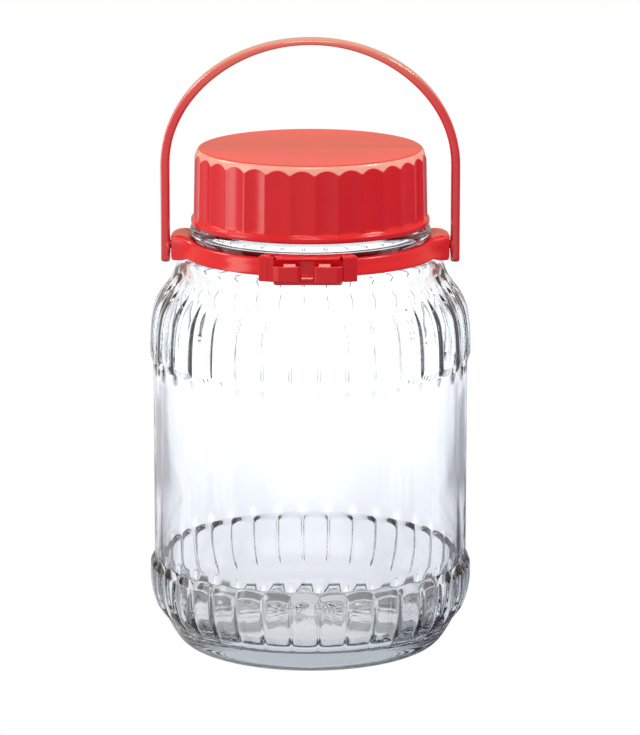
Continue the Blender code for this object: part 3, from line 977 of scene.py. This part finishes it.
# Name, place, width, height and share of the overhead power
HIGH_LAMPS = (
    ("overhead", (0.0, -0.34, 0.96), 0.22, 0.3, 1.1),
    ("high_left", (-0.61, 0.21, 0.72), 0.18, 0.18, 0.9),
    ("high_right", (0.51, -0.05, 0.87), 0.17, 0.2, 1.5),
)
KEY_LAMP = ("key", (-0.85, -0.30, 0.42), LAMP_AIM, 0.30, 0.80)
# The photograph's camera: distance, height over the horizon, aim, and in pixels the
# focal length, the frame's long side and the shift
CAMERA_DISTANCE = 2.1
CAMERA_ELEVATION = math.radians(12.78)
CAMERA_AIM = (0.0, 0.0, 0.1427)
FOCAL_PIXELS = 4114.0
FRAME_PIXELS = 735.0
SHIFT_PIXELS = 9.7
SENSOR_MM = 36.0


def flag_tone(nodes, links, x, y, darkness):
    """How dark the flags make a bearing, with its sine and its reach: they stand
    between about 40 and 80 degrees from the Y axis."""
    x_square = math_node(nodes, links, "MULTIPLY", x, x)
    y_square = math_node(nodes, links, "MULTIPLY", y, y)
    squares = math_node(nodes, links, "ADD", x_square, y_square)
    reach = math_node(nodes, links, "SQRT", squares)
    across = math_node(nodes, links, "ABSOLUTE", x)
    sine = math_node(nodes, links, "DIVIDE", across, reach)
    flag = window(nodes, links, sine, *FLAG_SINES)
    dark = math_node(nodes, links, "MULTIPLY", flag, darkness)
    return dark, sine, reach


def toned(nodes, links, value, colour):
    """A grey value times a colour."""
    combine = nodes.new("ShaderNodeCombineColor")
    for socket, share in zip(combine.inputs, colour):
        links.new(math_node(nodes, links, "MULTIPLY", value, share), socket)
    return combine.outputs["Color"]


def lit_backdrop(nodes, links, output, through, mirrored_tone, soft, surface_type):
    """Emission that is white to the camera. Rays that come through the glass, gloss
    reflections and soft light each get their own tone."""
    path = nodes.new("ShaderNodeLightPath").outputs
    tone = mixed(nodes, links, path["Is Glossy Ray"], soft, mirrored_tone)
    tone = mixed(nodes, links, path["Is Transmission Ray"], tone, through)
    tone = mixed(nodes, links, path["Is Camera Ray"], tone, WHITE)
    emission = nodes.new(surface_type)
    links.new(tone, emission.inputs["Color"])
    links.new(emission.outputs[0], output.inputs["Surface"])


def side_tone(nodes, links, x, reach, left, right):
    """A gloss tone that goes from left to right with the sine of the bearing."""
    sine = math_node(nodes, links, "DIVIDE", x, reach)
    share = ramped(nodes, links, sine, *GLOSS_SINES)
    return mixed(nodes, links, share, left, right)


def floor_material(settings):
    """The pale floor: white to the eye, and through the glass grey near the jar and
    bright far from it, dark behind the flags."""
    material, nodes, links, output = shader_nodes("pale studio floor")
    position = nodes.new("ShaderNodeNewGeometry").outputs["Position"]
    x, y, _ = axes_of(nodes, links, position)
    dark, sine, reach = flag_tone(nodes, links, x, y, settings.flags)
    far = ramped(nodes, links, reach, *FLAG_REACH)
    far = math_node(nodes, links, "MAXIMUM", far, FLAG_NEAR)
    dark = math_node(nodes, links, "MULTIPLY", dark, far)
    across = window(nodes, links, sine, *FIELD_SINES)
    along_floor = window(nodes, links, reach, *FIELD_REACH)
    field = math_node(nodes, links, "MULTIPLY", across, along_floor)
    grey = math_node(nodes, links, "MULTIPLY", field, GREY_FIELD)
    under = ramped(nodes, links, reach, *UNDER_REACH)
    shade = math_node(nodes, links, "MULTIPLY", under, UNDER_JAR)
    taken = math_node(nodes, links, "MAXIMUM", dark, grey)
    taken = math_node(nodes, links, "MAXIMUM", taken, shade)
    keep = math_node(nodes, links, "SUBTRACT", 1.0, taken)
    tone = ramped(nodes, links, reach, *FLOOR_RAMP, settings.floor_near, settings.floor_far)
    value = math_node(nodes, links, "MULTIPLY", tone, keep)
    through = toned(nodes, links, value, FLOOR_TINT)
    gloss = side_tone(nodes, links, x, reach, *FLOOR_GLOSS)
    lit_backdrop(nodes, links, output, through, gloss, FLOOR_SOFT, "ShaderNodeEmission")
    return material


def light_room(settings):
    """The room: white to the eye; bright and flagged through the glass."""
    world = bpy.data.worlds.new("studio")
    bpy.context.scene.world = world
    world.use_nodes = True
    nodes, links = world.node_tree.nodes, world.node_tree.links
    nodes.clear()
    output = nodes.new("ShaderNodeOutputWorld")
    direction = nodes.new("ShaderNodeTexCoord").outputs["Generated"]
    x, y, z = axes_of(nodes, links, direction)
    dark, _, reach = flag_tone(nodes, links, x, y, settings.flags)
    keep = math_node(nodes, links, "SUBTRACT", 1.0, dark)
    least = settings.surround * (1.0 - CEILING)
    tone = ramped(nodes, links, z, *CEILING_SLOPES, settings.surround, least)
    value = math_node(nodes, links, "MULTIPLY", keep, tone)
    through = toned(nodes, links, value, ROOM_TINT)
    gloss = side_tone(nodes, links, x, reach, *ROOM_GLOSS)
    soft = (settings.soft, settings.soft, settings.soft)
    lit_backdrop(nodes, links, output, through, gloss, soft, "ShaderNodeBackground")


def softbox(name, place, target, width, height, power):
    """A rectangular light at place that faces target."""
    light = bpy.data.lights.new(name, "AREA")
    light.shape = "RECTANGLE"
    light.size = width
    light.size_y = height
    light.energy = power
    light.color = LAMP_WARMTH
    lamp = bpy.data.objects.new(name, light)
    lamp.location = place
    facing = Vector(target) - Vector(place)
    lamp.rotation_euler = facing.to_track_quat("-Z", "Y").to_euler()
    lamp.visible_camera = False
    lamp.visible_transmission = False
    bpy.context.scene.collection.objects.link(lamp)


def put_camera():
    """The camera at the photograph's height and distance, a long lens on the jar."""
    lens = bpy.data.cameras.new("camera")
    lens.sensor_width = SENSOR_MM
    lens.lens = FOCAL_PIXELS * SENSOR_MM / FRAME_PIXELS
    lens.shift_x = SHIFT_PIXELS / FRAME_PIXELS
    camera = bpy.data.objects.new("camera", lens)
    back = Vector((0.0, -math.cos(CAMERA_ELEVATION), math.sin(CAMERA_ELEVATION)))
    camera.location = Vector(CAMERA_AIM) + back * CAMERA_DISTANCE
    camera.rotation_mode = "QUATERNION"
    camera.rotation_quaternion = (-back).to_track_quat("-Z", "Y")
    bpy.context.scene.collection.objects.link(camera)
    bpy.context.scene.camera = camera


class JAR_OT_stage(Operator):
    """Set up the pale floor, the room, the lights and the camera."""

    bl_idname = "jar.stage"
    bl_label = "Stage"

    def execute(self, context):
        settings = context.scene.jar_stage
        spin = np.linspace(0.0, math.tau, FLOOR_SIDES, endpoint=False)
        level = np.full(FLOOR_SIDES, FLOOR_Z)
        points = np.stack([FLOOR_R * np.cos(spin), FLOOR_R * np.sin(spin), level], axis=1)
        mesh = bpy.data.meshes.new("floor")
        mesh.from_pydata(points.tolist(), [], [list(range(FLOOR_SIDES))])
        mesh.materials.append(floor_material(settings))
        floor = bpy.data.objects.new("floor", mesh)
        context.scene.collection.objects.link(floor)
        light_room(settings)
        for name, place, width, height, share in HIGH_LAMPS:
            softbox(name, place, LAMP_AIM, width, height, settings.overhead * share)
        softbox(*KEY_LAMP, settings.key)
        put_camera()
        context.scene.view_settings.view_transform = "Standard"
        context.scene.cycles.max_bounces = 24
        context.scene.cycles.transmission_bounces = 24
        context.scene.cycles.glossy_bounces = 8
        return {"FINISHED"}


# Panel and registration


class JAR_PT_panel(Panel):
    """Sidebar panel that lists the jar's settings and its steps."""

    bl_idname = "JAR_PT_panel"
    bl_label = "Ribbed Storage Jar"
    bl_space_type = "VIEW_3D"
    bl_region_type = "UI"
    bl_category = "Jar"

    def draw(self, context):
        scene = context.scene
        for group in (scene.jar_glass, scene.jar_plastic, scene.jar_stage):
            box = self.layout.box()
            for name in group.__annotations__:
                box.prop(group, name)
        for step in STEPS:
            self.layout.operator(step.bl_idname)


STEPS = (JAR_OT_glass, JAR_OT_cap, JAR_OT_collar, JAR_OT_clasp, JAR_OT_handle, JAR_OT_stage)
GROUPS = {
    "jar_glass": JarGlassSettings,
    "jar_plastic": JarPlasticSettings,
    "jar_stage": JarStageSettings,
}


def register():
    for group in GROUPS.values():
        bpy.utils.register_class(group)
    for step in STEPS:
        bpy.utils.register_class(step)
    bpy.utils.register_class(JAR_PT_panel)
    for name, group in GROUPS.items():
        setattr(bpy.types.Scene, name, PointerProperty(type=group))


def unregister():
    for name in GROUPS:
        delattr(bpy.types.Scene, name)
    bpy.utils.unregister_class(JAR_PT_panel)
    for step in reversed(STEPS):
        bpy.utils.unregister_class(step)
    for group in GROUPS.values():
        bpy.utils.unregister_class(group)


def main():
    """Registers the add-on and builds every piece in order."""
    register()
    bpy.ops.jar.glass()
    bpy.ops.jar.cap()
    bpy.ops.jar.collar()
    bpy.ops.jar.clasp()
    bpy.ops.jar.handle()
    bpy.ops.jar.stage()
    bpy.context.view_layer.update()


if __name__ == "__main__":
    main()
